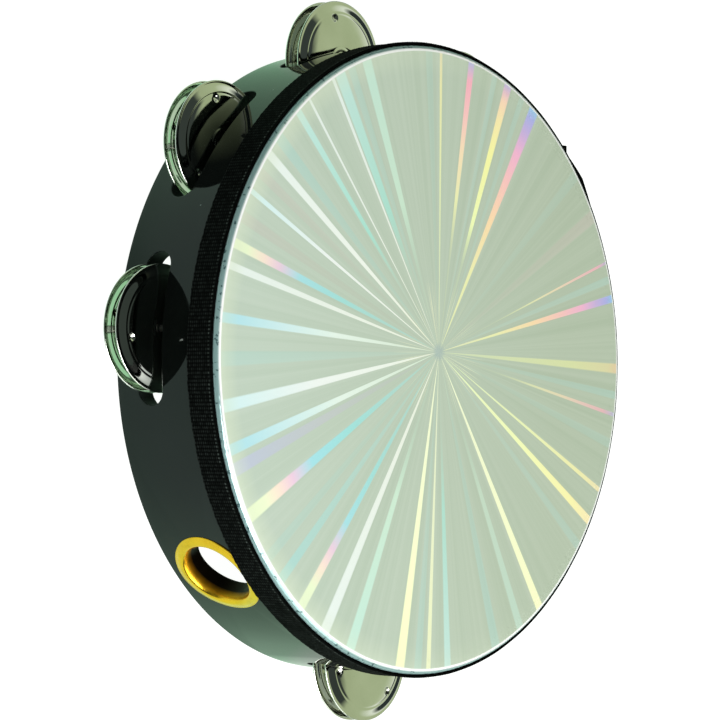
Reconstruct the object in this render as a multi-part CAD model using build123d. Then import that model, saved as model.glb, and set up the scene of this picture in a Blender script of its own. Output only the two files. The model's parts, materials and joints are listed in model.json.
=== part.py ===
from build123d import *
import os
from math import cos, radians, sin

# Tambourine: a slotted hoop with a glued-on head, a woven band over the head's
# skirt, a brass grommet in the hand hole, and eight pairs of jingles on pins.
# The origin is the centre of the head's playing face, +Z points out of the head
# along the hoop's axis, and the hand hole faces -Y. The parts are drawn with
# heights counted up from the open rim's plane, and moved down by the depth at
# the end. Lengths are in millimetres and angles in degrees.

# ---- Driving dimensions -------------------------------------------------------
HOOP_R = 127.0              # outside radius: a 10 inch hoop
HOOP_WALL = 8.0
DEPTH = 54.0                # from the open rim to the head's face
OPEN_EDGE_ROUND = 1.2       # rounding of the hoop's outer corner at the open rim
BEARING_EDGE_ROUND = 2.0    # rounding that the head bends over

FILM_THICK = 0.3
FILM_SKIRT = 10.6           # how far the head's skirt comes down the hoop
GLUE_GAP = 0.1              # the glue line between the wrapped layers

BAND_TOP_DROP = 2.0         # from the head's face to the band's upper edge
BAND_WIDTH = 12.7           # half inch tape
BAND_THICK = 1.2

PAIR_COUNT = 8
PAIR_PITCH = 38.0           # angle from one pair to the next
FIRST_PAIR = 47.0           # angle from the hand hole to the first pair
SLOT_LENGTH = 59.8
SLOT_WIDTH = 12.7
SLOT_DROP = 36.0            # from the head's face to the slots' centre line

PIN_R = 1.2
PIN_FIT = 0.02              # radial gap of a pin driven into the hoop
PIN_TIP = 36.0              # height of the pin's tip
PIN_HEAD_R = 2.3
PIN_HEAD_THICK = 0.8
PIN_HEAD_SINK = 0.4         # how deep the head sits in its recess
RECESS_GAP = 0.2            # room around the head in its recess

JINGLE_R = 25.0
JINGLE_THICK = 0.7
JINGLE_HOLE_R = 1.6         # loose on the pin
JINGLE_LIP = 1.2            # width of the flat lip at the rim
JINGLE_SHOULDER = 3.5       # width of the sloping ring inside the lip
JINGLE_STEP = 1.0           # rise of that ring, from the lip to the foot of the dome
JINGLE_DOME = 0.5           # rise of the dome, foot to crown
JINGLE_BULGE = 0.35         # how far the dome bows above a straight slope
JINGLE_CUP_R = 6.0          # the raised cup around the pin
JINGLE_CUP_RISE = 0.1       # how far the cup stands above the crown
RIM_GAP = 5.7               # between the two rims of a pair, at rest
PAIR_SINK = 1.0             # the pair rests this far below the slot's centre line

HOLE_DROP = 30.8            # from the head's face to the hand hole's centre
GROMMET_BORE_R = 14.0
GROMMET_WALL = 0.8
FLANGE_R = 19.0
FLANGE_HEIGHT = 1.1
FLANGE_ROUND = 0.5
WASHER_R = 18.0
WASHER_THICK = 0.8
ROLL_R = 16.4               # the barrel's end, rolled over the washer
ROLL_THICK = 0.7
SEAT_GAP = 0.05             # between the grommet's pieces and the hoop
BARREL_GAP = 0.1            # between the barrel and its hole in the hoop
POCKET_GAP = 0.15           # room that the band leaves over the flange

# ---- Sizes that follow ----------------------------------------------------------
HOOP_IN = HOOP_R - HOOP_WALL
HOOP_TOP = DEPTH - FILM_THICK
PIN_CIRCLE = HOOP_R - HOOP_WALL / 2
SLOT_Z = DEPTH - SLOT_DROP
HOLE_Z = DEPTH - HOLE_DROP
FILM_R = HOOP_R + GLUE_GAP + FILM_THICK
BAND_IN = FILM_R + GLUE_GAP
BAND_TOP = DEPTH - BAND_TOP_DROP
BARREL_R = GROMMET_BORE_R + GROMMET_WALL
FAR = HOOP_R * 1.2          # past everything, for cutting bodies

HOLE_PLANE = Plane(origin=(0, 0, HOLE_Z), x_dir=(1, 0, 0), z_dir=(0, -1, 0))


def pair_angle(index):
    """Polar angle of a jingle pair, counted from the hand hole."""
    return -90 + FIRST_PAIR + PAIR_PITCH * index


def pin_point(index, height=0.0):
    angle = radians(pair_angle(index))
    return (PIN_CIRCLE * cos(angle), PIN_CIRCLE * sin(angle), height)


def tube(outer, inner, low, high):
    """An upright ring between two heights."""
    band = Circle(outer) - Circle(inner)
    return extrude(Pos(0, 0, low) * band, amount=high - low)


def hole_disc(radius):
    """A cylinder along the hand hole's axis, from inside the hoop to outside it."""
    return extrude(HOLE_PLANE * Circle(radius), amount=FAR)


def longest_edge(ring, level):
    """The outer circle of a ring's lowest (0) or highest (-1) face."""
    return ring.edges().group_by(Axis.Z)[level].sort_by(SortBy.LENGTH)[-1]


def make_hoop():
    blank = tube(HOOP_R, HOOP_IN, 0, HOOP_TOP)
    blank = fillet(longest_edge(blank, -1), BEARING_EDGE_ROUND)
    blank = fillet(longest_edge(blank, 0), OPEN_EDGE_ROUND)
    slot = SlotOverall(SLOT_LENGTH, SLOT_WIDTH)
    for index in range(PAIR_COUNT):
        angle = radians(pair_angle(index))
        outward = (cos(angle), sin(angle), 0)
        sideways = (-sin(angle), cos(angle), 0)
        face = Plane(origin=(0, 0, SLOT_Z), x_dir=sideways, z_dir=outward)
        blank -= extrude(face * slot, amount=FAR)
        bore = Cylinder(PIN_R + PIN_FIT, PIN_TIP, align=(Align.CENTER, Align.CENTER, Align.MIN))
        recess = Cylinder(
            PIN_HEAD_R + RECESS_GAP,
            PIN_HEAD_SINK + PIN_HEAD_THICK,
            align=(Align.CENTER, Align.CENTER, Align.MIN),
        )
        blank -= Pos(*pin_point(index)) * (bore + recess)
    return blank - hole_disc(BARREL_R + BARREL_GAP)


def make_drumhead():
    """The head: a flat film bent over the bearing edge, with a skirt down the hoop."""
    inner_r = FILM_R - FILM_THICK
    foot = DEPTH - FILM_SKIRT
    bend_out = BEARING_EDGE_ROUND + GLUE_GAP + FILM_THICK
    bend_in = bend_out - FILM_THICK
    outline = [
        Line((0, HOOP_TOP), (inner_r - bend_in, HOOP_TOP)),
        RadiusArc((inner_r - bend_in, HOOP_TOP), (inner_r, HOOP_TOP - bend_in), bend_in),
        Line((inner_r, HOOP_TOP - bend_in), (inner_r, foot)),
        Line((inner_r, foot), (FILM_R, foot)),
        Line((FILM_R, foot), (FILM_R, DEPTH - bend_out)),
        RadiusArc((FILM_R, DEPTH - bend_out), (FILM_R - bend_out, DEPTH), -bend_out),
        Line((FILM_R - bend_out, DEPTH), (0, DEPTH)),
        Line((0, DEPTH), (0, HOOP_TOP)),
    ]
    return revolve(Plane.XZ * make_face(outline), Axis.Z)


def make_rim_band():
    """The woven band, with a pocket where it lies over the grommet's flange."""
    band = tube(BAND_IN + BAND_THICK, BAND_IN, BAND_TOP - BAND_WIDTH, BAND_TOP)
    pocket_skin = HOOP_R + SEAT_GAP + FLANGE_HEIGHT + POCKET_GAP
    pocket = tube(pocket_skin, HOOP_IN, 0, DEPTH) & hole_disc(FLANGE_R + POCKET_GAP)
    return band - pocket


def make_grommet():
    """Saddle-shaped flange, barrel through the wall, and the barrel's rolled end."""
    flange_foot = HOOP_R + SEAT_GAP
    flange = tube(flange_foot + FLANGE_HEIGHT, flange_foot, 0, DEPTH) & hole_disc(FLANGE_R)
    flange = fillet(outer_rim_edges(flange), FLANGE_ROUND)
    roll_out = HOOP_IN - SEAT_GAP - WASHER_THICK - SEAT_GAP
    roll_in = roll_out - ROLL_THICK
    barrel = tube(flange_foot + FLANGE_HEIGHT / 2, roll_in, 0, DEPTH) & hole_disc(BARREL_R)
    roll = tube(roll_out, roll_in, 0, DEPTH) & hole_disc(ROLL_R)
    return flange + barrel + roll - hole_disc(GROMMET_BORE_R)


def outer_rim_edges(flange):
    """The flange's outermost edge, which lies furthest from the hoop's axis."""
    skin = HOOP_R + SEAT_GAP + FLANGE_HEIGHT
    return flange.edges().filter_by(
        lambda edge: abs(Vector((edge @ 0.3).X, (edge @ 0.3).Y, 0).length - skin) < 0.01
    )


def make_grommet_washer():
    washer_out = HOOP_IN - SEAT_GAP
    ring = tube(washer_out, washer_out - WASHER_THICK, 0, DEPTH) & hole_disc(WASHER_R)
    return ring - hole_disc(BARREL_R + SEAT_GAP)


def make_pin(index):
    """A headed pin driven in from the open edge, through the slot, into the hoop."""
    shank = Cylinder(PIN_R, PIN_TIP - PIN_HEAD_SINK, align=(Align.CENTER, Align.CENTER, Align.MIN))
    head = Cylinder(PIN_HEAD_R, PIN_HEAD_THICK, align=(Align.CENTER, Align.CENTER, Align.MIN))
    return Pos(*pin_point(index, PIN_HEAD_SINK)) * (shank + head)


def jingle_blank():
    """One pressed disc, rim down at height 0: lip, shoulder, dome and central cup."""
    lip_in = JINGLE_R - JINGLE_LIP
    foot_r = lip_in - JINGLE_SHOULDER
    crown = JINGLE_STEP + JINGLE_DOME
    cup = crown + JINGLE_CUP_RISE
    cup_foot_r = JINGLE_CUP_R + JINGLE_CUP_RISE
    lower = [
        (JINGLE_R, 0),
        (lip_in, 0),
        (foot_r, JINGLE_STEP),
        (cup_foot_r, crown),
        (JINGLE_CUP_R, cup),
        (JINGLE_HOLE_R, cup),
    ]
    upper = [(r, z + JINGLE_THICK) for r, z in lower]

    def side(points):
        foot, top = points[2], points[3]
        middle = ((foot[0] + top[0]) / 2, (foot[1] + top[1]) / 2 + JINGLE_BULGE)
        return [
            Line(points[0], points[1]),
            Line(points[1], points[2]),
            ThreePointArc(foot, middle, top),
            Line(points[3], points[4]),
            Line(points[4], points[5]),
        ]

    outline = side(lower) + side(upper) + [Line(lower[0], upper[0]), Line(lower[-1], upper[-1])]
    return revolve(Plane.XZ * make_face(outline), Axis.Z)


def make_jingles(index, disc):
    """The upper and lower disc of a pair, dome outwards, on their pin."""
    rest = SLOT_Z - PAIR_SINK
    upper = Pos(*pin_point(index, rest + RIM_GAP / 2)) * disc
    flipped = Rot(180, 0, 0) * disc
    lower = Pos(*pin_point(index, rest - RIM_GAP / 2)) * flipped
    return upper, lower


def build():
    nodes = {
        "hoop": make_hoop(),
        "drumhead": make_drumhead(),
        "rim_band": make_rim_band(),
        "grommet": make_grommet(),
        "grommet_washer": make_grommet_washer(),
    }
    disc = jingle_blank()
    for index in range(PAIR_COUNT):
        number = index + 1
        nodes[f"jingle_pin_{number}"] = make_pin(index)
        upper, lower = make_jingles(index, disc)
        nodes[f"jingle_{number}_upper"] = upper
        nodes[f"jingle_{number}_lower"] = lower
    return nodes


os.makedirs("parts", exist_ok=True)
for name, solid in build().items():
    export_step(Pos(0, 0, -DEPTH) * solid, f"parts/{name}.step")
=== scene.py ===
import bpy
import bmesh
import json
import math
import random
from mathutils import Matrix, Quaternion, Vector


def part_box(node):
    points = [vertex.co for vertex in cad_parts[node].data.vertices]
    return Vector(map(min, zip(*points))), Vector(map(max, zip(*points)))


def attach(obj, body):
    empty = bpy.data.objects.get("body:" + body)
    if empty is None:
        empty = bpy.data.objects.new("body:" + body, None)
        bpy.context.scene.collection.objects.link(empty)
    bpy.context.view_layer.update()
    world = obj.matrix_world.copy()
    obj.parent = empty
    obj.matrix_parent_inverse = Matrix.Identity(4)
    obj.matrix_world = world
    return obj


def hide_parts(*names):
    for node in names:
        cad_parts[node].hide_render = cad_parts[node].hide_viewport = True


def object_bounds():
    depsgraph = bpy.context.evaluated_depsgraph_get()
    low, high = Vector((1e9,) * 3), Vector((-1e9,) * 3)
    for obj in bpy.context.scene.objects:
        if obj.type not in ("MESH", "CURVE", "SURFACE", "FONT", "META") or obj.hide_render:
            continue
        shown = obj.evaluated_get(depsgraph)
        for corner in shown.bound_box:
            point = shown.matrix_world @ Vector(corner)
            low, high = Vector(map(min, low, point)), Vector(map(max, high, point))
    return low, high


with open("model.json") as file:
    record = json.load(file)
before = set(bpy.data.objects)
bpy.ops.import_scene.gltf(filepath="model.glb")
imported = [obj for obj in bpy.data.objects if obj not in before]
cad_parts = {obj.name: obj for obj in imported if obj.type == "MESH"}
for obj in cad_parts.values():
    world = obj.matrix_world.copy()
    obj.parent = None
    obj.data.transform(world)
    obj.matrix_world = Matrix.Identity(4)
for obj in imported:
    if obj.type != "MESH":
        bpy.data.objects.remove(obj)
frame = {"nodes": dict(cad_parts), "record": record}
cad_low, cad_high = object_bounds()

MM = 0.001
TAU = 2 * math.pi

# ---- Sizes read from the frame (metres) -----------------------------------------
hoop_low, hoop_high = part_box("hoop")
head_low, head_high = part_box("drumhead")
band_low, band_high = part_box("rim_band")
flange_low, flange_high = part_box("grommet")
washer_low, washer_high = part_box("grommet_washer")
pair_low, pair_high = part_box("jingle_1_upper")

# Heights count up from the open rim, which lies at OPEN_Z in the frame.
OPEN_Z = hoop_low.z
HOOP_R = (hoop_high.x - hoop_low.x) / 2
HOOP_TOP = hoop_high.z - OPEN_Z
HEAD_R = (head_high.x - head_low.x) / 2
HEAD_Z = head_high.z - OPEN_Z
SKIRT_Z = head_low.z - OPEN_Z
BAND_R = (band_high.x - band_low.x) / 2
BAND_LOW, BAND_TOP = band_low.z - OPEN_Z, band_high.z - OPEN_Z
HOLE_Z = (flange_low.z + flange_high.z) / 2 - OPEN_Z
FLANGE_R = (flange_high.x - flange_low.x) / 2
JINGLE_R = (pair_high.x - pair_low.x) / 2

mounts = {mount["name"]: mount for mount in frame["record"]["mounts"]}
WALL = 8.0 * MM
HOOP_IN = HOOP_R - WALL
HOLE_R = mounts["hand_hole"]["dims"]["r_mm"] * MM

# ---- Sizes of the surface detail -------------------------------------------------
PAIRS = 8
PAIR_PITCH = math.radians(38)
FIRST_PAIR = math.radians(-90 + 47)   # the hand hole is at -90
SLOT_LENGTH, SLOT_WIDTH = 59.8 * MM, 12.7 * MM
SLOT_Z = 18.0 * MM
PIN_CIRCLE = (HOOP_R + HOOP_IN) / 2
CUT_ROUND = 0.45 * MM          # softened edges of the slots and of the hand hole
HOLE_CUT_R = 14.9 * MM         # the hand hole through the hoop, which the grommet lines
OPEN_ROUND = 1.2 * MM          # the hoop's outer edge at its open rim
BEARING_ROUND = 2.0 * MM       # and under the head
RECESS_R, RECESS_DEPTH = 2.5 * MM, 1.2 * MM
RECESS_HALF = 3                # degrees of the rim, each side of a pin's recess
YARN_ROWS = 540                # yarns across the tape, all the way round
YARN_COLUMNS = 12              # yarns along it
STITCH_COLUMN = 10.9           # where the lighter stitches run, counted in yarns
FILM_BEND = 2.4 * MM           # the head's rounding over the hoop's edge


# ---- Mesh helpers ----------------------------------------------------------------
def mix(a, b, t):
    return a + (b - a) * t


def steps(count):
    """0 to 1 in equal steps, both ends included."""
    return [i / count for i in range(count + 1)]


def polar(radius, angle, z):
    return (radius * math.cos(angle), radius * math.sin(angle), z)


def quads(mesh, loops, closed=True):
    """Quads between each loop of points and the next."""
    rows = [[mesh.verts.new(point) for point in loop] for loop in loops]
    for first, second in zip(rows, rows[1:]):
        count = len(first)
        for i in range(count if closed else count - 1):
            j = (i + 1) % count
            mesh.faces.new((first[i], first[j], second[j], second[i]))
    return rows


def mesh_data(mesh, name, material, weld=1e-6):
    """Smooth mesh data from a bmesh, with points within weld of each other joined."""
    bmesh.ops.remove_doubles(mesh, verts=mesh.verts, dist=weld)
    bmesh.ops.recalc_face_normals(mesh, faces=mesh.faces)
    data = bpy.data.meshes.new(name)
    mesh.to_mesh(data)
    mesh.free()
    data.shade_smooth()
    data.materials.append(material)
    return data


def finish_mesh(mesh, name, node, body, material):
    """Links a mesh, built up from the open rim, and has it stand for a CAD node."""
    piece = bpy.data.objects.new(name, mesh_data(mesh, name, material))
    piece.location.z = OPEN_Z
    bpy.context.scene.collection.objects.link(piece)
    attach(piece, body)
    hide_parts(node)
    return piece


# ---- Materials --------------------------------------------------------------------
class Nodes:
    """Short names for building one node tree, of a material or of the world."""

    def __init__(self, owner, shader="Principled BSDF"):
        self.owner = owner
        owner.use_nodes = True
        self.tree = owner.node_tree
        self.shader = self.tree.nodes[shader]

    def add(self, kind, **settings):
        node = self.tree.nodes.new(kind)
        for key, value in settings.items():
            setattr(node, key, value)
        return node

    def link(self, source, target):
        self.tree.links.new(source, target)

    def put(self, socket, value):
        """Links value into socket if it is a socket, or stores it there."""
        if isinstance(value, bpy.types.NodeSocket):
            self.link(value, socket)
        else:
            socket.default_value = value

    def set(self, **values):
        """Links or stores values on the shader, by socket name with underscores."""
        for key, value in values.items():
            self.put(self.shader.inputs[key.replace("_", " ")], value)

    def math(self, operation, a, b=0.0, c=0.0):
        node = self.add("ShaderNodeMath", operation=operation)
        for socket, value in zip(node.inputs, (a, b, c)):
            self.put(socket, value)
        return node.outputs[0]

    def place(self):
        return self.add("ShaderNodeTexCoord").outputs["Object"]

    def split(self, vector):
        node = self.add("ShaderNodeSeparateXYZ")
        self.link(vector, node.inputs[0])
        return node.outputs

    def join(self, x, y, z):
        node = self.add("ShaderNodeCombineXYZ")
        for socket, value in zip(node.inputs, (x, y, z)):
            self.put(socket, value)
        return node.outputs[0]

    def vector(self, operation, a, b=(0, 0, 0)):
        """A vector operation's node, for its "Vector" or "Value" output."""
        node = self.add("ShaderNodeVectorMath", operation=operation)
        self.link(a, node.inputs[0])
        node.inputs[1].default_value = b
        return node.outputs

    def reach(self, x, y):
        """Distance from the upright axis."""
        return self.vector("LENGTH", self.join(x, y, 0.0))["Value"]

    def noise(self, vector, scale, detail=3.0, rough=0.5):
        node = self.add("ShaderNodeTexNoise")
        self.link(vector, node.inputs["Vector"])
        node.inputs["Scale"].default_value = scale
        node.inputs["Detail"].default_value = detail
        node.inputs["Roughness"].default_value = rough
        return node.outputs["Fac"]

    def remap(self, value, low, high, new_low, new_high):
        node = self.add("ShaderNodeMapRange")
        self.put(node.inputs["Value"], value)
        for name, number in (
            ("From Min", low),
            ("From Max", high),
            ("To Min", new_low),
            ("To Max", new_high),
        ):
            node.inputs[name].default_value = number
        return node.outputs["Result"]

    def blend(self, factor, first, second):
        node = self.add("ShaderNodeMix", data_type="RGBA")
        self.put(node.inputs["Factor"], factor)
        self.put(node.inputs["A"], first)
        self.put(node.inputs["B"], second)
        return node.outputs["Result"]

    def ramp(self, value, stops):
        """Colour and alpha of a colour ramp with these (place, colour) stops."""
        node = self.add("ShaderNodeValToRGB")
        self.link(value, node.inputs["Fac"])
        points = node.color_ramp.elements
        points[0].position, points[0].color = stops[0]
        points[1].position, points[1].color = stops[-1]
        for place, colour in stops[1:-1]:
            points.new(place).color = colour
        return node.outputs["Color"], node.outputs["Alpha"]

    def bump(self, height, strength, distance):
        node = self.add("ShaderNodeBump")
        self.link(height, node.inputs["Height"])
        node.inputs["Strength"].default_value = strength
        node.inputs["Distance"].default_value = distance
        self.set(Normal=node.outputs["Normal"])


def new_material(name):
    return Nodes(bpy.data.materials.new(name))


def hoop_material():
    """Black high gloss lacquer: faint orange peel, dust specks, and a duller rim and cuts."""
    m = new_material("hoop_gloss")
    place = m.place()
    dust = m.add("ShaderNodeTexVoronoi", feature="F1")
    m.link(place, dust.inputs["Vector"])
    dust.inputs["Scale"].default_value = 160
    speck = m.math("LESS_THAN", dust.outputs["Distance"], 0.05)
    chosen = m.math("GREATER_THAN", m.split(dust.outputs["Color"])[0], 0.90)
    dusty = m.math("MULTIPLY", speck, chosen)
    cloud = m.remap(m.noise(place, 30, 4), 0.3, 0.7, 0, 1)
    black = m.blend(cloud, (0.0015, 0.002, 0.002, 1), (0.003, 0.004, 0.0035, 1))
    x, y, z = m.split(place)
    inside = m.math("COMPARE", m.reach(x, y), PIN_CIRCLE, WALL / 2 - 0.35 * MM)
    cut = m.math("MULTIPLY", inside, m.math("LESS_THAN", z, HOOP_TOP - 6 * MM))
    cut = m.math("MAXIMUM", cut, m.math("LESS_THAN", z, OPEN_ROUND * 0.9))
    smear = m.remap(m.noise(place, 55, 5, 0.6), 0.35, 0.75, 0.035, 0.10)
    rough = m.math("ADD", smear, m.math("MULTIPLY", dusty, 0.4))
    m.set(
        IOR=1.34,
        Specular_Tint=(0.85, 1.0, 0.95, 1.0),
        Base_Color=m.blend(dusty, black, (0.16, 0.19, 0.18, 1)),
        Roughness=m.math("ADD", rough, m.math("MULTIPLY", cut, 0.6)),
    )
    m.bump(m.noise(place, 140, 2), 0.04, 0.4 * MM)
    return m.owner


def steel_material():
    """Drawn steel wire, with fine lines along it."""
    m = new_material("pin_steel")
    x, y, z = m.split(m.place())
    lines = m.noise(m.join(x, y, m.math("MULTIPLY", z, 0.05)), 2600, 3)
    drawn = m.remap(lines, 0.3, 0.7, 0, 1)
    m.set(
        Metallic=1.0,
        Base_Color=m.blend(drawn, (0.42, 0.42, 0.40, 1), (0.66, 0.66, 0.63, 1)),
        Roughness=m.remap(lines, 0.3, 0.7, 0.22, 0.42),
    )
    m.bump(lines, 0.15, 0.1 * MM)
    return m.owner


def jingle_material():
    """Bright nickel plate: pressed, so a little uneven, with a cloudy polish."""
    m = new_material("jingle_nickel")
    place = m.place()
    cloud = m.remap(m.noise(place, 70, 4), 0.3, 0.7, 0, 1)
    m.set(
        Metallic=1.0,
        Base_Color=m.blend(cloud, (0.74, 0.76, 0.68, 1), (0.83, 0.84, 0.78, 1)),
        Roughness=m.remap(m.noise(place, 240, 5, 0.65), 0.35, 0.75, 0.025, 0.10),
    )
    m.bump(m.noise(place, 90, 2), 0.05, 0.6 * MM)
    return m.owner


def brass_material():
    """Yellow brass with clouds of tarnish, duller the deeper it lies in the hole, with painted shade
    there: browner, then nearly black.
    """
    m = new_material("grommet_brass")
    place = m.place()
    x, y, _ = m.split(place)
    depth = m.reach(x, y)
    tarnish = m.remap(m.noise(place, 180, 5, 0.6), 0.45, 0.75, 0, 1)
    bright = m.blend(tarnish, (0.88, 0.52, 0.030, 1), (0.70, 0.40, 0.020, 1))
    # Painted shade: browner from the hole's mouth inward, then nearly black deeper in the hole.
    painted_shade_brown = m.remap(depth, HOOP_R - 0.2 * MM, HOOP_R - 2.0 * MM, 0, 1)
    brass_painted_brown = m.blend(painted_shade_brown, bright, (0.70, 0.30, 0.012, 1))
    painted_hole_shade = m.remap(depth, HOOP_R - 1.2 * MM, HOOP_R - 4.0 * MM, 0, 1)
    smears = m.remap(m.noise(place, 420, 4), 0.3, 0.7, 0.12, 0.26)
    dulled = m.remap(depth, HOOP_R + 0.9 * MM, HOOP_R - 0.6 * MM, 0, 0.30)
    m.set(
        Metallic=1.0,
        Base_Color=m.blend(painted_hole_shade, brass_painted_brown, (0.012, 0.007, 0.004, 1)),
        Roughness=m.math("ADD", smears, dulled),
    )
    m.bump(m.noise(place, 900, 3), 0.06, 0.2 * MM)
    return m.owner


def weave_material():
    """Black polyester tape with painted light: the yarns' crests painted lighter as highlights, the
    gaps between them painted black as shade.
    """
    m = new_material("band_weave")
    place = m.place()
    x, y, z = m.split(place)
    row = m.math("MULTIPLY", m.math("ARCTAN2", y, x), YARN_ROWS / TAU)
    height = m.math("SUBTRACT", z, BAND_LOW)
    column = m.math("MULTIPLY", height, YARN_COLUMNS / (BAND_TOP - BAND_LOW))
    ridge = m.math("ABSOLUTE", m.math("SINE", m.math("MULTIPLY", row, math.pi)))
    groove = m.math("ABSOLUTE", m.math("SINE", m.math("MULTIPLY", column, math.pi)))
    # Painted highlight and shade: the yarns' crests lighter, the grooves between them darker.
    crest = m.math("POWER", m.math("MULTIPLY", ridge, groove), 1.5)
    fibre = m.noise(place, 1400, 3, 0.7)
    crossing = m.add("ShaderNodeTexWhiteNoise", noise_dimensions="2D")
    m.link(m.join(m.math("FLOOR", row), m.math("FLOOR", column), 0.0), crossing.inputs["Vector"])
    chance = crossing.outputs["Value"]
    lit = m.math("MULTIPLY", crest, m.remap(fibre, 0.35, 0.75, 0.3, 1.0))
    lit = m.math("MULTIPLY", lit, m.remap(chance, 0.1, 1.0, 0.3, 1.0))
    shade = m.blend(lit, (0.0008, 0.0010, 0.0009, 1), (0.032, 0.038, 0.035, 1))
    edging = m.math("COMPARE", column, STITCH_COLUMN, 0.35)
    stitch = m.math("MULTIPLY", edging, m.math("GREATER_THAN", ridge, 0.75))
    m.set(
        IOR=1.10,
        Specular_IOR_Level=0.2,
        Base_Color=m.blend(m.math("MULTIPLY", stitch, chance), shade, (0.06, 0.07, 0.065, 1)),
        Roughness=m.remap(fibre, 0.3, 0.7, 0.50, 0.75),
    )
    m.bump(fibre, 0.35, 0.15 * MM)
    return m.owner


# ---- The head's printed star: rays about a point near its centre ------------------
STAR_X, STAR_Y = 0.7 * MM, 5.4 * MM
STAR_SPOT_R = 3.5 * MM         # the greyer spot where the rays meet
# Painted light for the bend over the hoop: a painted highlight, a painted teal reflection and painted
# shade.
FOIL_PAINTED_HIGHLIGHT, FOIL_PAINTED_REFLECTION, FOIL_PAINTED_SHADE = (1, 1, 1, 1), (0.36, 0.55, 0.54, 1), (0.06, 0.13, 0.14, 1)
# Painted shade for the film's underside.
FILM_UNDERSIDE_SHADE = (0.16, 0.18, 0.17, 1)


def tone(red, green, blue, alpha=1.0):
    """A screen colour, 0 to 255 a channel, as the linear colour that a shader takes."""
    return (*((channel / 255) ** 2.2 for channel in (red, green, blue)), alpha)


# Colours from the star's centre to the rim, as (share of the radius, colour); alpha is the
# strength there.
TINTS = {
    "white": [(0.0, tone(252, 255, 240)), (0.5, tone(250, 255, 250)), (1.0, tone(246, 255, 255))],
    "ice": [(0.0, tone(250, 255, 244)), (0.6, tone(250, 255, 255)), (1.0, tone(220, 250, 255))],
    "sky": [
        (0.0, tone(225, 240, 222)),
        (0.5, tone(240, 254, 246)),
        (0.75, tone(216, 246, 252)),
        (1.0, tone(182, 234, 248)),
    ],
    "cyan": [(0.0, tone(190, 222, 212, 0.6)), (1.0, tone(174, 228, 228))],
    "aqua": [(0.25, tone(190, 225, 210, 0.1)), (0.5, tone(178, 234, 222)), (1.0, tone(206, 242, 238))],
    "mint": [(0.25, tone(200, 230, 210, 0.2)), (0.5, tone(214, 242, 222)), (1.0, tone(206, 242, 230))],
    "opal": [
        (0.0, tone(190, 222, 212, 0.7)),
        (0.5, tone(166, 232, 232)),
        (0.7, tone(172, 234, 246)),
        (0.8, tone(250, 214, 240)),
        (0.87, tone(268, 240, 226)),
        (0.95, tone(250, 262, 222)),
    ],
    "lemon": [(0.0, tone(255, 262, 230)), (1.0, tone(268, 268, 216))],
    "gold": [
        (0.0, tone(244, 258, 214)),
        (0.5, tone(258, 264, 198)),
        (0.85, tone(266, 256, 186)),
        (1.0, tone(264, 242, 200)),
    ],
    "amber": [
        (0.0, tone(216, 230, 198)),
        (0.7, tone(228, 234, 180)),
        (0.9, tone(232, 224, 178)),
        (1.0, tone(248, 200, 172)),
    ],
    "peach": [
        (0.3, tone(230, 244, 196, 0.2)),
        (0.45, tone(256, 266, 198)),
        (0.7, tone(266, 262, 178)),
        (0.82, tone(268, 246, 188)),
        (0.89, tone(268, 226, 200)),
        (0.92, tone(246, 200, 220)),
        (0.95, tone(196, 186, 244)),
    ],
    "coral": [
        (0.3, tone(232, 240, 190, 0.2)),
        (0.5, tone(252, 252, 194)),
        (0.66, tone(268, 236, 200)),
        (0.78, tone(270, 206, 208)),
        (0.89, tone(270, 184, 208)),
        (0.95, tone(196, 190, 244)),
    ],
    "sunset": [
        (0.0, tone(240, 246, 198)),
        (0.3, tone(250, 250, 190)),
        (0.5, tone(270, 232, 186)),
        (0.66, tone(268, 206, 206)),
        (0.77, tone(260, 190, 226)),
        (0.85, tone(214, 186, 240)),
        (0.91, tone(182, 184, 250)),
        (0.96, tone(150, 222, 256)),
    ],
    "violet": [(0.0, tone(196, 200, 196, 0.3)), (0.6, tone(204, 206, 216)), (1.0, tone(200, 204, 240))],
    "rose": [(0.0, tone(206, 204, 190, 0.3)), (1.0, tone(220, 200, 200))],
}

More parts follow.
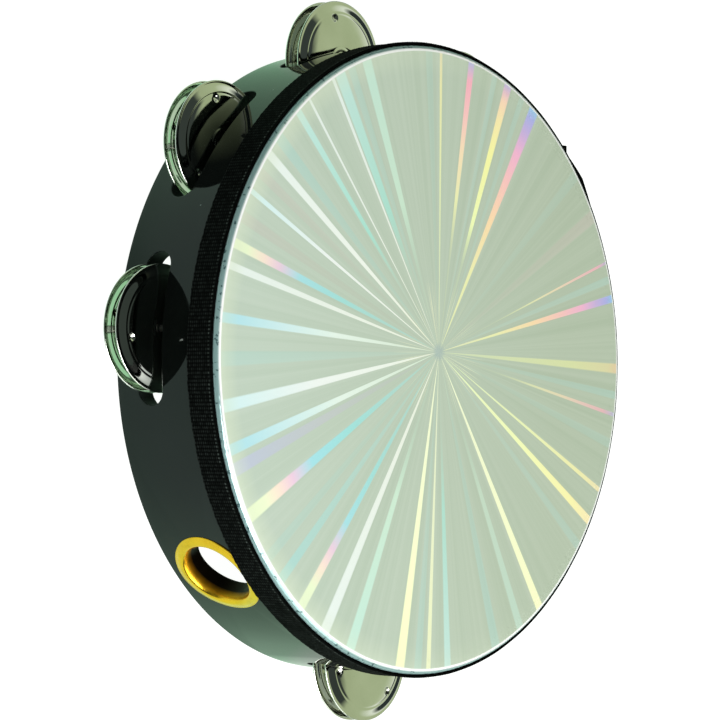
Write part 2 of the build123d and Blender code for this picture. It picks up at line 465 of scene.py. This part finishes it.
# (angle about the star, width, tint, strength): angles in degrees from +X, seen from outside.
RAYS = [
    (-179, 1.6, "aqua", 1.0),
    (-172, 2.4, "cyan", 0.4),
    (-168, 1.8, "white", 1.0),
    (-164, 2.0, "rose", 0.3),
    (-160, 1.0, "ice", 1.0),
    (-155, 2.2, "rose", 0.3),
    (-150, 1.8, "opal", 0.9),
    (-146, 1.4, "white", 0.9),
    (-137, 1.8, "sky", 1.0),
    (-130, 2.6, "cyan", 0.3),
    (-122, 2.2, "ice", 1.0),
    (-114.5, 2.0, "sky", 1.0),
    (-111, 2.4, "violet", 0.7),
    (-102.5, 2.6, "opal", 1.0),
    (-94, 2.0, "cyan", 0.25),
    (-89, 2.0, "cyan", 0.7),
    (-82, 2.0, "opal", 0.9),
    (-74.5, 2.4, "white", 0.9),
    (-67, 2.4, "mint", 1.0),
    (-53, 2.4, "lemon", 1.0),
    (-48, 2.0, "cyan", 0.3),
    (-45, 1.2, "lemon", 0.7),
    (-39.5, 1.8, "aqua", 0.8),
    (-25, 2.4, "cyan", 0.35),
    (-17, 2.0, "mint", 0.5),
    (-10, 2.0, "lemon", 0.95),
    (7, 2.0, "cyan", 0.25),
    (13, 1.8, "gold", 1.0),
    (20, 1.0, "gold", 0.8),
    (30, 2.0, "cyan", 0.2),
    (36, 0.8, "coral", 0.6),
    (40, 1.6, "cyan", 0.3),
    (45.5, 2.0, "amber", 1.0),
    (60, 1.6, "sunset", 0.95),
    (64, 1.6, "cyan", 0.3),
    (67.6, 0.6, "coral", 0.7),
    (78, 2.8, "rose", 0.4),
    (88, 2.4, "cyan", 0.15),
    (106.6, 2.8, "sunset", 1.0),
    (111, 1.6, "cyan", 0.25),
    (116, 2.2, "peach", 1.0),
    (120.4, 1.6, "cyan", 0.25),
    (128, 1.8, "coral", 0.95),
    (137.4, 0.8, "gold", 0.7),
    (141, 2.0, "cyan", 0.2),
    (159.4, 2.6, "mint", 0.9),
    (164, 2.0, "cyan", 0.3),
    (167.4, 2.8, "aqua", 0.9),
    (169.6, 0.8, "white", 0.9),
    (177.2, 0.6, "white", 0.9),
]


def add_rays(m, colour, heading, share):
    """Lays the rays over colour, one tint at a time, for a heading and a share of the radius."""
    for name, stops in TINTS.items():
        total = 0.0
        for angle, width, tint, strength in RAYS:
            if tint != name:
                continue
            middle, half = math.radians(angle), math.radians(width) / 2
            apart = m.vector("DISTANCE", heading, (math.cos(middle), math.sin(middle), 0))
            mask = m.remap(apart["Value"], half * 1.15, half * 0.85, 0, strength)
            total = m.math("MAXIMUM", total, mask)
        shade, alpha = m.ramp(share, stops)
        colour = m.blend(m.math("MULTIPLY", total, alpha), colour, shade)
    return colour


def film_face(m, x, y, painted_light_side):
    """The playing face's colour: pale film with painted light, lighter toward -X and -Y where the
    light-side mask is 1, with the star on it.
    """
    away = m.join(m.math("SUBTRACT", x, STAR_X), m.math("SUBTRACT", y, STAR_Y), 0.0)
    radius = m.vector("LENGTH", away)["Value"]
    heading = m.vector("NORMALIZE", away)["Vector"]
    streak = m.remap(m.noise(heading, 26, 3, 0.7), 0.35, 0.65, 0, 1)
    plain = m.blend(streak, tone(184, 198, 178), tone(194, 206, 188))
    # Painted light: a lighter copy of the film for the side toward -X and -Y.
    painted_lit_film = m.blend(streak, tone(195, 211, 197), tone(204, 218, 206))
    colour = m.blend(painted_light_side, plain, painted_lit_film)
    colour = add_rays(m, colour, heading, m.math("DIVIDE", radius, HEAD_R))
    needle = m.remap(m.noise(heading, 60, 2, 0.5), 0.60, 0.66, 0, 1)
    near = m.remap(radius, 30 * MM, 18 * MM, 0, 0.9)
    colour = m.blend(m.math("MULTIPLY", needle, near), colour, tone(244, 246, 214))
    spot = m.remap(radius, STAR_SPOT_R * 1.2, STAR_SPOT_R * 0.5, 0, 0.5)
    return m.blend(spot, colour, tone(160, 182, 190))


def film_material():
    """Prismatic film: a pale face with the star's rays and painted light, a foil skirt painted with a
    highlight, a teal reflection and patches of shade, and a back painted dark grey as shade.
    """
    m = new_material("head_film")
    place = m.place()
    x, y, z = m.split(place)
    reach = m.reach(x, y)
    edge = HEAD_R - FILM_BEND
    # Painted light: the face lighter toward -X and -Y, and paler still within 9 mm of the bend on that
    # side.
    painted_light_side = m.remap(m.math("ADD", x, y), 0.12, -0.15, 0, 1)
    painted_rim_light = m.remap(reach, edge - 9 * MM, edge, 0, 0.5)
    face = m.blend(m.math("MULTIPLY", painted_rim_light, painted_light_side), film_face(m, x, y, painted_light_side), tone(232, 242, 216))
    # Painted light on the bend: a painted white highlight where it turns over, a painted teal
    # reflection farther round, and patches of painted shade.
    bend = m.remap(reach, edge - 0.1 * MM, edge + 0.3 * MM, 0, 1)
    turned = m.remap(reach, edge + 0.8 * MM, edge + 1.5 * MM, 0, 1)
    painted_pucker_shade = m.remap(m.noise(place, 420, 3, 0.6), 0.60, 0.63, 0, 0.9)
    foil_painted_light = m.blend(turned, FOIL_PAINTED_HIGHLIGHT, FOIL_PAINTED_REFLECTION)
    foil_painted_light = m.blend(m.math("MULTIPLY", painted_pucker_shade, turned), foil_painted_light, FOIL_PAINTED_SHADE)
    # Painted shade: the film's underside, inside the bend, painted dark grey.
    beneath = m.remap(z, HEAD_Z - 0.15 * MM, HEAD_Z - 0.25 * MM, 0, 1)
    within = m.remap(reach, edge + 0.1 * MM, edge - 0.2 * MM, 0, 1)
    back = m.math("MULTIPLY", beneath, within)
    face_metal = m.remap(bend, 0, 1, 0.15, 0.0)
    m.set(
        IOR=1.45,
        Coat_Weight=0.25,
        Coat_Roughness=0.08,
        Base_Color=m.blend(back, m.blend(bend, face, foil_painted_light), FILM_UNDERSIDE_SHADE),
        Metallic=m.math("ADD", face_metal, m.math("MULTIPLY", turned, 0.45)),
        Roughness=m.remap(bend, 0, 1, 0.30, 0.16),
    )
    return m.owner


# ---- Hoop: slots, hand hole and pin recesses cut into a ring ----------------------
RING = [math.radians(degree) for degree in range(360)]
CELL_LOW, CELL_HIGH = OPEN_ROUND, 42 * MM
FLAT_RADII = [mix(HOOP_R - OPEN_ROUND, HOOP_IN, t) for t in steps(4)]


def wall_point(centre, u, z, radius):
    """A point of the wall, u to the side of the ray at angle centre."""
    return polar(radius, centre + math.asin(u / radius), z)


def cut_point(u, z, half, middle, size):
    """Where the cut's outline, size away from its spine, faces the point (u, z)."""
    spine = max(-half, min(half, u))
    across, up = u - spine, z - middle
    length = math.hypot(across, up)
    return spine + across / length * size, middle + up / length * size


def grid_border(turns, levels):
    """The outline of a grid: along the first level, up, back along the last one and down."""
    border = [(turn, levels[0]) for turn in turns]
    border += [(turns[-1], level) for level in levels[1:]]
    border += [(turn, levels[-1]) for turn in reversed(turns[:-1])]
    return border + [(turns[0], level) for level in reversed(levels[1:-1])]


def make_cell(mesh, centre, span, half, middle, size):
    """A stretch of wall, span degrees wide, with one round-ended cut through it."""
    turns = [math.radians(i - span / 2) for i in range(span + 1)]
    border = grid_border(turns, [mix(CELL_LOW, CELL_HIGH, t) for t in steps(16)])
    aims = [(HOOP_R * math.sin(turn), z) for turn, z in border]

    def loop(radius, away, t):
        """From the border, t 0, to the cut's outline moved out by away, t 1."""
        points = []
        for (turn, z), aim in zip(border, aims):
            u, v = cut_point(*aim, half, middle, size + away)
            across = mix(radius * math.sin(turn), u, t)
            points.append(wall_point(centre, across, mix(z, v, t), radius))
        return points

    spread = [0, 0.3, 0.55, 0.75, 0.9, 0.97]
    bends = [math.pi / 2 * t for t in steps(5)]
    edge = [(CUT_ROUND * (1 - math.cos(a)), CUT_ROUND * (1 - math.sin(a))) for a in bends]
    through = [mix(HOOP_R - CUT_ROUND, HOOP_IN + CUT_ROUND, t) for t in steps(4)[1:-1]]
    rows = [(HOOP_R, CUT_ROUND, t) for t in spread]
    rows += [(HOOP_R - deep, away, 1) for deep, away in edge]
    rows += [(radius, 0, 1) for radius in through]
    rows += [(HOOP_IN + deep, away, 1) for deep, away in reversed(edge)]
    rows += [(HOOP_IN, CUT_ROUND, t) for t in reversed(spread)]
    quads(mesh, [loop(*row) for row in rows])


def make_recess(mesh, centre):
    """The open rim's flat round one pin, with the pin's recess in it."""
    turns = [math.radians(i - RECESS_HALF) for i in range(2 * RECESS_HALF + 1)]
    border = grid_border(turns, FLAT_RADII)
    pin = Vector(polar(PIN_CIRCLE, centre, 0))
    outer = [Vector(polar(radius, centre + turn, 0)) for turn, radius in border]
    spokes = [(point - pin).normalized() for point in outer]
    mouth = [pin + spoke * RECESS_R for spoke in spokes]
    floor = [point + Vector((0, 0, RECESS_DEPTH)) for point in mouth]
    middle = [point.lerp(edge, 0.6) for point, edge in zip(outer, mouth)]
    rows = quads(mesh, [outer, middle, mouth, floor])
    mesh.faces.new(rows[-1])


def make_rings(mesh):
    """The hoop's plain stretches above and below the cells, all the way round."""
    quarter = [math.pi / 2 * t for t in steps(5)]
    crown = HOOP_TOP - BEARING_ROUND
    above = [(HOOP_R, CELL_HIGH), (HOOP_R, mix(CELL_HIGH, crown, 0.9))]
    above += [
        (HOOP_R - BEARING_ROUND * (1 - math.cos(bend)), crown + BEARING_ROUND * math.sin(bend))
        for bend in quarter
    ]
    above += [(HOOP_IN, HOOP_TOP), (HOOP_IN, CELL_HIGH)]
    below = [
        (HOOP_R - OPEN_ROUND * (1 - math.cos(bend)), OPEN_ROUND * (1 - math.sin(bend)))
        for bend in quarter
    ]
    inside = [(HOOP_IN, 0), (HOOP_IN, OPEN_ROUND)]
    for profile in (above, below, inside):
        quads(mesh, [[polar(radius, angle, z) for angle in RING] for radius, z in profile])


def make_flat(mesh, pair_span):
    """The open rim's flat, a degree at a time, between the pins' recesses."""
    first = round(math.degrees(FIRST_PAIR))
    recesses = [first + pair_span * index for index in range(PAIRS)]
    for degree in range(360):
        turned = [(degree - recess) % 360 for recess in recesses]
        if any(turn < RECESS_HALF or turn >= 360 - RECESS_HALF for turn in turned):
            continue
        sides = [math.radians(degree), math.radians(degree + 1)]
        loops = [[polar(radius, side, 0) for radius in FLAT_RADII] for side in sides]
        quads(mesh, loops, closed=False)


def make_hoop(material):
    mesh = bmesh.new()
    slot_half = (SLOT_LENGTH - SLOT_WIDTH) / 2
    pair_span = round(math.degrees(PAIR_PITCH))
    for index in range(PAIRS):
        centre = FIRST_PAIR + PAIR_PITCH * index
        make_cell(mesh, centre, pair_span, slot_half, SLOT_Z, SLOT_WIDTH / 2)
        make_recess(mesh, centre)
    make_cell(mesh, -math.pi / 2, 360 - PAIRS * pair_span, 0, HOLE_Z, HOLE_CUT_R)
    make_rings(mesh)
    make_flat(mesh, pair_span)
    hoop = finish_mesh(mesh, "hoop_shell", "hoop", "hoop_body", material)
    hoop.modifiers.new("Even shading", "WEIGHTED_NORMAL").keep_sharp = False
    return hoop


# ---- Drumhead: face, puckered bend and skirt --------------------------------------
FILM_THICK = 0.3 * MM
HEAD_COLUMNS = 1440            # steps round the head
PUCKER_HIGH = 0.10 * MM


def ripple(waves, seed):
    """A repeatable uneven wave round the hoop: about -1 to 1, for an angle."""
    draw = random.Random(seed)
    parts = [(wave, draw.uniform(0, TAU), draw.uniform(0.5, 1)) for wave in waves]
    total = sum(weight for _, _, weight in parts)
    return lambda angle: sum(w * math.sin(n * angle + p) for n, p, w in parts) / total


def film_profile():
    """The film's skin once round, as (radius, height, how much it puckers, 0 to 1)."""
    centre_r, centre_z = HEAD_R - FILM_BEND, HEAD_Z - FILM_BEND
    bend_in = FILM_BEND - FILM_THICK

    def bend_point(size, t, puckered):
        bend = math.pi / 2 * t
        return centre_r + size * math.sin(bend), centre_z + size * math.cos(bend), puckered

    profile = [(share * centre_r, HEAD_Z, 0) for share in (0.02, 0.25, 0.5, 0.75, 0.9, 0.97, 1)]
    profile += [bend_point(FILM_BEND, t, min(1, 1.3 * t)) for t in steps(10)[1:]]
    profile += [(HEAD_R, mix(centre_z, SKIRT_Z, t), mix(1, 0.2, t)) for t in (0.15, 0.5, 1)]
    profile += [(HEAD_R - FILM_THICK, SKIRT_Z, 0), (HEAD_R - FILM_THICK, centre_z, 0)]
    profile += [bend_point(bend_in, t, 0) for t in (0.7, 0.4, 0.0)]
    return profile + [(share * centre_r, HEAD_Z - FILM_THICK, 0) for share in (0.5, 0.02)]


def make_drumhead(material):
    """The head: its pleats grow as the film bends over the edge and fade down the skirt."""
    fine = ripple((131, 173, 211, 247), 3)
    broad = ripple((37, 53, 71), 4)
    angles = [TAU * i / HEAD_COLUMNS for i in range(HEAD_COLUMNS)]
    swells = [max(0.0, 0.5 + 0.9 * fine(a)) * (0.7 + 0.6 * broad(a)) for a in angles]
    mesh = bmesh.new()
    loops = []
    for radius, z, puckered in film_profile():
        out = PUCKER_HIGH * puckered
        loops.append([polar(radius + out * min(1.0, w), a, z) for a, w in zip(angles, swells)])
    rows = quads(mesh, loops)
    for row in (rows[0], rows[-1]):
        mesh.faces.new(row)
    return finish_mesh(mesh, "drumhead_film", "drumhead", "hoop_body", material)


# ---- Rim band: woven tape ---------------------------------------------------------
ROW_CUTS, COLUMN_CUTS = 4, 3   # mesh steps over each yarn
YARN_RELIEF = 0.30 * MM
BAND_THICK = 1.2 * MM
FLANGE_BULGE = 0.30 * MM       # how far the flange pushes the tape out
FLANGE_POCKET = 0.70 * MM      # how far it presses into the tape's back
EDGE_WANDER = 0.14 * MM        # how unevenly its lower edge runs
SELVEDGE_HIGH = 0.30 * MM      # the tape's thicker woven edge, next to the head
SELVEDGE_LIP = 0.15 * MM       # how far that edge reaches past the tape's top
# Where the tape's head-side edge stands off the hoop: (degrees, half width, how far).
LOOSE_EDGES = [(93.1, 0.9, 2.0 * MM), (85.4, 5.5, 1.6 * MM)]


def yarn_height(row, column):
    """Height of a plain weave, 0 to 1, at a place counted in yarns."""
    along, across = abs(math.sin(math.pi * row)), abs(math.sin(math.pi * column))
    if (math.floor(row) + math.floor(column)) % 2:
        return math.sqrt(along) * (0.3 + 0.6 * across)
    return math.sqrt(across) * (0.4 + 0.6 * along)


def over_flange(angle, z):
    """1 where the tape lies over the grommet's flange, 0 clear of it."""
    if math.sin(angle) > 0:
        return 0.0
    apart = math.hypot(HOOP_R * math.cos(angle), z - HOLE_Z)
    return max(0.0, min(1.0, (FLANGE_R + 2.2 * MM - apart) / (2 * MM)))


def loose_edge(angle):
    """How far the tape's head-side edge stands off the hoop at an angle."""
    degrees = math.degrees(angle) % 360
    off = 0.0
    for centre, half, high in LOOSE_EDGES:
        off = max(off, high * (1 - abs(degrees - centre) / half))
    return off


def tape_row(row, low, lift):
    """One row of the tape, once round its section: the woven front, then the flat back."""
    angle = TAU * row / YARN_ROWS
    loop = []
    for i in range(YARN_COLUMNS * COLUMN_CUTS + 1):
        column = i / COLUMN_CUTS
        share = column / YARN_COLUMNS
        z = mix(low, BAND_TOP, share)
        rim = min(1.0, 3 * column, 3 * (YARN_COLUMNS - column))
        weave = yarn_height(row, min(column, YARN_COLUMNS - 0.01)) * rim
        base = BAND_R - YARN_RELIEF + 0.05 * MM * lift
        bulge = FLANGE_BULGE * over_flange(angle, z)
        bulge += SELVEDGE_HIGH * max(0.0, 6 * share - 5) + loose_edge(angle) * share * share
        lip = SELVEDGE_LIP if share > 0.98 else 0.0
        loop.append(polar(base + bulge + YARN_RELIEF * weave, angle, z + lip))
    for share in (1, 0.3, 0):
        z = mix(low, BAND_TOP, share)
        back = BAND_R - BAND_THICK + FLANGE_POCKET * over_flange(angle, z)
        loop.append(polar(back + loose_edge(angle) * share * share, angle, z))
    return loop


def make_band(material):
    wander, lift = ripple((61, 89, 143), 8), ripple((17, 29, 47), 9)
    loops = []
    for i in range(YARN_ROWS * ROW_CUTS):
        row = (i + 0.5) / ROW_CUTS
        angle = TAU * row / YARN_ROWS
        low = BAND_LOW + EDGE_WANDER * wander(angle) + 0.1 * MM * math.cos(math.pi * row)
        loops.append(tape_row(row, low, lift(angle)))
    mesh = bmesh.new()
    quads(mesh, loops + [loops[0]])
    band = finish_mesh(mesh, "rim_band_tape", "rim_band", "hoop_body", material)
    return band


# ---- Grommet and its washer -------------------------------------------------------
SEAT_GAP = 0.05 * MM
FLANGE_HIGH = 1.1 * MM
BARREL_R = HOLE_R + 0.8 * MM
ROLL_R = 16.4 * MM
ROLL_THICK = 0.7 * MM
WASHER_THICK = 0.8 * MM
SWEEP = 180                    # steps round the hand hole


def arc(centre, radii, start, end, count):
    """Points of an elliptical arc, between two angles in degrees."""
    turns = [math.radians(mix(start, end, t)) for t in steps(count)]
    return [(centre[0] + radii[0] * math.cos(a), centre[1] + radii[1] * math.sin(a)) for a in turns]


def sweep_hole(mesh, profile):
    """Sweeps (distance from the hole's axis, distance from the hoop's axis) round the hole."""
    loops = []
    for i in range(SWEEP):
        turn = TAU * i / SWEEP
        loop = []
        for away, radius in profile:
            x = away * math.cos(turn)
            loop.append((x, -math.sqrt(radius**2 - x**2), HOLE_Z + away * math.sin(turn)))
        loops.append(loop)
    quads(mesh, loops + [loops[0]])


def make_grommet(material):
    seat = HOOP_R + SEAT_GAP
    roll_seat = HOOP_IN - 2 * SEAT_GAP - WASHER_THICK
    crest = HOLE_R + 1.9 * MM
    throat = seat - 1.6 * MM
    profile = arc((FLANGE_R - 0.45 * MM, seat), (0.45 * MM, 0.55 * MM), 0, 80, 5)
    profile += arc((crest, seat), (FLANGE_R - 0.5 * MM - crest, FLANGE_HIGH), 28, 90, 9)
    profile += arc((crest, throat), (crest - HOLE_R, seat + FLANGE_HIGH - throat), 93, 180, 18)
    profile += [(HOLE_R, mix(throat, roll_seat, t)) for t in steps(4)[1:]]
    profile += arc((HOLE_R + ROLL_THICK, roll_seat), (ROLL_THICK, ROLL_THICK), 190, 270, 6)
    tip = ROLL_THICK / 2
    profile += arc((ROLL_R - tip, roll_seat - tip), (tip, tip), 270, 450, 8)
    profile += [(BARREL_R, roll_seat), (BARREL_R, mix(roll_seat, seat, 0.5)), (BARREL_R, seat)]
    mesh = bmesh.new()
    sweep_hole(mesh, profile)
    return finish_mesh(mesh, "grommet_eyelet", "grommet", "hoop_body", material)


def make_washer(material):
    outer = (washer_high.x - washer_low.x) / 2
    inner = BARREL_R + SEAT_GAP
    seat = HOOP_IN - SEAT_GAP
    face, edge = seat - WASHER_THICK, 0.2 * MM
    profile = [(inner, seat), (outer, seat)]
    profile += arc((outer - edge, face + edge), (edge, edge), 0, -90, 4)
    profile += [(inner, face)]
    mesh = bmesh.new()
    sweep_hole(mesh, profile)
    return finish_mesh(mesh, "washer_ring", "grommet_washer", "hoop_body", material)


# ---- Jingles ----------------------------------------------------------------------
JINGLE_THICK = 0.7 * MM
JINGLE_HOLE_R = 1.6 * MM
LIP_IN = JINGLE_R - 1.2 * MM
SHOULDER_HIGH = 1.0 * MM
DOME_FOOT = LIP_IN - 3.5 * MM
DOME_RISE = 0.5 * MM
DOME_BULGE = 0.35 * MM
CUP_R = 6.0 * MM
CUP_RISE = 0.1 * MM
CREASE = 0.12 * MM             # the fine grooves at the foot of the dome and round the hole
DENT_RING = 18.2 * MM          # three dents pressed into each dome, a third of a turn apart
DENT_DEPTH, DENT_R = 1.0 * MM, 1.9 * MM
# Quarter turns of the discs whose dents show in the photograph; the others are turned at random.
TURNS = {"jingle_1_upper": 0, "jingle_8_upper": 0, "jingle_6_upper": 3, "jingle_7_upper": 3}


def dent(radius, degrees):
    """Depth of the dents at a place on a disc."""
    off = (degrees + 60) % 120 - 60
    away = math.hypot(radius - DENT_RING, DENT_RING * math.radians(off)) / DENT_R
    return DENT_DEPTH * (1 - away * away) ** 2 if away < 1 else 0.0


def pressed_height(radius):
    """Height of a jingle's lower skin over its rim: lip, shoulder, dome and cup."""
    if radius >= LIP_IN:
        return 0.0
    if radius >= DOME_FOOT:
        t = (LIP_IN - radius) / (LIP_IN - DOME_FOOT)
        return SHOULDER_HIGH * t**1.4 * (1.4 - 0.4 * t)
    crown_r = CUP_R + CUP_RISE
    t = min(1.0, (DOME_FOOT - radius) / (DOME_FOOT - crown_r))
    dome = SHOULDER_HIGH + DOME_RISE * t + 4 * DOME_BULGE * t * (1 - t)
    crease = CREASE * math.exp(-(((DOME_FOOT - radius) / (0.5 * MM) - 0.8) ** 2))
    cup = min(1.0, max(0.0, (crown_r - radius) / (0.5 * MM)))
    ring = CREASE * math.exp(-(((radius - 4.2 * MM) / (0.35 * MM)) ** 2))
    return dome - crease + CUP_RISE * cup * cup * (3 - 2 * cup) - ring


def make_jingle_mesh(material):
    """One pressed disc, rim down at height 0, centred on its pin."""
    edge = JINGLE_THICK / 2
    bands = [
        (JINGLE_HOLE_R, CUP_R + 0.4 * MM, 16),
        (CUP_R + 0.4 * MM, DENT_RING - 2.2 * MM, 11),
        (DENT_RING - 2.2 * MM, DOME_FOOT + 0.5 * MM, 16),
        (DOME_FOOT + 0.5 * MM, LIP_IN, 10),
        (LIP_IN, JINGLE_R - edge, 3),
    ]
    radii = [mix(low, high, t) for low, high, count in bands for t in steps(count)[:-1]]
    lower = [(radius, pressed_height(radius)) for radius in radii + [JINGLE_R - edge]]
    upper = [(radius, height + JINGLE_THICK) for radius, height in reversed(lower)]
    rim = arc((JINGLE_R - edge, edge), (edge, edge), -90, 90, 8)[1:-1]
    # A third of a turn in degrees, in finer steps across its dent.
    third = [-60 + 3 * i for i in range(18)]
    third += [-6 + 0.75 * i for i in range(17)]
    third += [9 + 3 * i for i in range(17)]
    loops = []
    for degrees in [start + off for start in (0, 120, 240) for off in third]:
        angle = math.radians(degrees)
        section = [(radius, z - dent(radius, degrees)) for radius, z in lower + rim + upper]
        loops.append([polar(radius, angle, z) for radius, z in section])
    mesh = bmesh.new()
    quads(mesh, loops + [loops[0]])
    return mesh_data(mesh, "jingle_disc", material, weld=1e-7)


def make_jingles(material):
    disc = make_jingle_mesh(material)
    draw = random.Random(5)
    for index in range(PAIRS):
        for place in ("upper", "lower"):
            node = f"jingle_{index + 1}_{place}"
            low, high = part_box(node)
            piece = bpy.data.objects.new(f"{node}_disc", disc)
            bpy.context.scene.collection.objects.link(piece)
            flip = math.pi if place == "lower" else 0.0
            rim = high.z if place == "lower" else low.z
            quarters = TURNS.get(node, draw.randrange(4))
            piece.rotation_euler = (flip, 0, quarters * math.pi / 2)
            piece.location = ((low.x + high.x) / 2, (low.y + high.y) / 2, rim)
            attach(piece, f"{node}_body")
            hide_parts(node)


# ---- Floor, lights and camera -----------------------------------------------------
LENS = 171.9                   # this and the sensor in mm
AIM = (-0.0127, -0.0144, cad_low.z + 0.0320)
SENSOR = 36
DISTANCE = 1.394
AZIMUTH, ELEVATION, ROLL = math.radians(-40.65), math.radians(40.81), math.radians(89.16)
AHEAD = (-math.sin(AZIMUTH), math.cos(AZIMUTH), 0)    # level, from the camera to the object


def make_camera():
    """The photograph's view: from above the head, turned so that the head faces right."""
    data = bpy.data.cameras.new("camera")
    data.lens = LENS
    data.sensor_width = SENSOR
    data.clip_start, data.clip_end = 0.05, 50
    camera = bpy.data.objects.new("camera", data)
    bpy.context.scene.collection.objects.link(camera)
    back = Vector(
        (
            math.sin(AZIMUTH) * math.cos(ELEVATION),
            -math.cos(AZIMUTH) * math.cos(ELEVATION),
            math.sin(ELEVATION),
        )
    )
    camera.location = Vector(AIM) + back * DISTANCE
    upright = (-back).to_track_quat("-Z", "Y")
    camera.rotation_mode = "QUATERNION"
    camera.rotation_quaternion = upright @ Quaternion((0, 0, 1), ROLL)
    bpy.context.scene.camera = camera


# The floor's cast onto the object, from half a metre in front of it to as far behind it.
FLOOR_CAST = [
    (0.0, (0.58, 0.74, 0.67, 1)),
    (0.36, (0.58, 0.74, 0.67, 1)),
    (0.43, (0.45, 0.83, 0.54, 1)),
    (0.465, (0.43, 0.79, 0.51, 1)),
    (0.48, (0.64, 0.80, 0.66, 1)),
    (0.50, (0.64, 0.80, 0.66, 1)),
    (0.525, (0.12, 0.16, 0.12, 1)),
    (1.0, (0.18, 0.22, 0.18, 1)),
]
FLOOR_SEEN = (0.98, 1.0, 0.98, 1)
FLOOR_HALF = 20.0              # half of its side, in metres
FLOOR_GAP = 0.2 * MM           # how far it lies under the object


def floor_material():
    """Plain white where the camera sees it, with a cast that changes toward the back."""
    m = new_material("floor_white")
    place = m.place()
    speckle = m.noise(place, 8, 2)
    x, y, _ = m.split(place)
    away = m.math("ADD", m.math("MULTIPLY", x, AHEAD[0]), m.math("MULTIPLY", y, AHEAD[1]))
    cast, _ = m.ramp(m.remap(away, -0.5, 0.5, 0, 1), FLOOR_CAST)
    seen = m.add("ShaderNodeLightPath").outputs["Is Camera Ray"]
    m.set(
        Roughness=0.9,
        Specular_IOR_Level=0.0,
        Emission_Strength=1.0,
        Base_Color=m.blend(speckle, (0.24, 0.25, 0.24, 1), (0.26, 0.27, 0.26, 1)),
        Emission_Color=m.blend(seen, cast, FLOOR_SEEN),
    )
    return m.owner


def make_floor():
    signs = [(-1, -1), (1, -1), (1, 1), (-1, 1)]
    corners = [(FLOOR_HALF * across, FLOOR_HALF * along, 0) for across, along in signs]
    data = bpy.data.meshes.new("floor")
    data.from_pydata(corners, [], [(0, 1, 2, 3)])
    data.materials.append(floor_material())
    floor = bpy.data.objects.new("floor", data)
    floor.location.z = cad_low.z - FLOOR_GAP
    bpy.context.scene.collection.objects.link(floor)


def add_softbox(name, place, side, power):
    """A square light, aimed at the object."""
    data = bpy.data.lights.new(name, "AREA")
    data.shape = "RECTANGLE"
    data.size, data.size_y = side, side
    data.energy = power
    light = bpy.data.objects.new(name, data)
    light.location = place
    light.rotation_mode = "QUATERNION"
    light.rotation_quaternion = (-Vector(place)).to_track_quat("-Z", "Y")
    bpy.context.scene.collection.objects.link(light)


# The studio's walls: beyond the object as (height of the direction, colour), and one colour
# on the camera's side.
FAR_SIDE = [
    (0.0, (0.70, 0.82, 0.72, 1)),
    (0.03, (0.66, 0.76, 0.64, 1)),
    (0.08, (0.02, 0.03, 0.03, 1)),
    (0.34, (0.03, 0.04, 0.04, 1)),
    (0.42, (0.80, 0.86, 0.74, 1)),
    (0.58, (0.44, 0.52, 0.32, 1)),
    (0.74, (0.42, 0.49, 0.30, 1)),
    (0.80, (0.04, 0.05, 0.045, 1)),
    (1.0, (0.04, 0.05, 0.045, 1)),
]
NEAR_SIDE = (0.05, 0.06, 0.055, 1)


def make_light():
    m = Nodes(bpy.data.worlds.new("studio"), "Background")
    bpy.context.scene.world = m.owner
    direction = m.add("ShaderNodeTexCoord").outputs["Generated"]
    far, _ = m.ramp(m.split(direction)["Z"], FAR_SIDE)
    ahead = m.vector("DOT_PRODUCT", direction, AHEAD)["Value"]
    m.set(Color=m.blend(m.remap(ahead, -0.2, 0.15, 0, 1), NEAR_SIDE, far))
    add_softbox("key", (0.30, -1.52, 1.68), 1.4, 56)
    add_softbox("fill", (1.6, -1.4, 1.6), 1.8, 20)
    bpy.context.scene.view_settings.view_transform = "Standard"


def dress_pins(material):
    """The pins keep their CAD shapes, with a better material."""
    for number in range(1, PAIRS + 1):
        pin = frame["nodes"][f"jingle_pin_{number}"]
        pin.data.materials.clear()
        pin.data.materials.append(material)


make_floor()
make_light()
make_camera()
make_hoop(hoop_material())
make_drumhead(film_material())
make_band(weave_material())
brass = brass_material()
make_grommet(brass)
make_washer(brass)
make_jingles(jingle_material())
dress_pins(steel_material())
